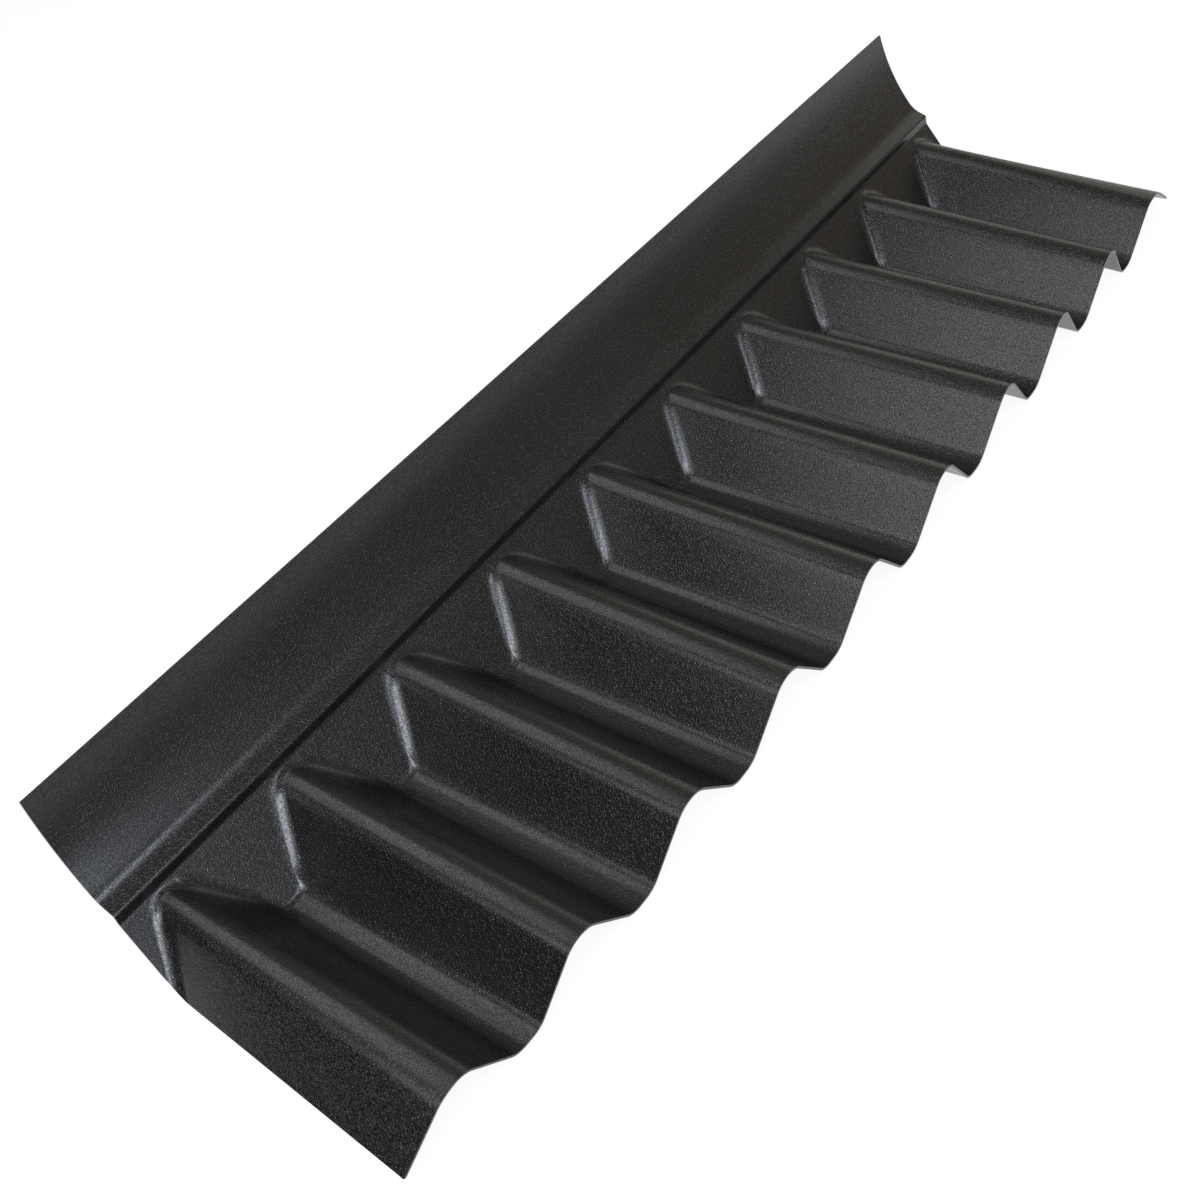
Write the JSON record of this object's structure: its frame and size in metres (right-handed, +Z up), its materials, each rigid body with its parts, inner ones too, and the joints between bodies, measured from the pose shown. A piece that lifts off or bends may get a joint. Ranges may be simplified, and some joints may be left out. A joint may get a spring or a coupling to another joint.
{
  "type": "wall abutment flashing",
  "caption": "Corrugated plastic flashing with sloped trough closures and a curved upstand, to seal the joint of a corrugated roof against a wall.",
  "frame": {"origin": "on the floor under the middle of the box that holds the sheet", "axes": "+X along the wall, +Y from the front edge of the apron to the wall, +Z up"},
  "size_m": [0.916, 0.2558, 0.1102],
  "materials": {
    "grained_black_plastic": "fine hair-cell grain, satin"
  },
  "bodies": {
    "root": {"flashing_sheet": "grained_black_plastic"}
  },
  "joints": []
}
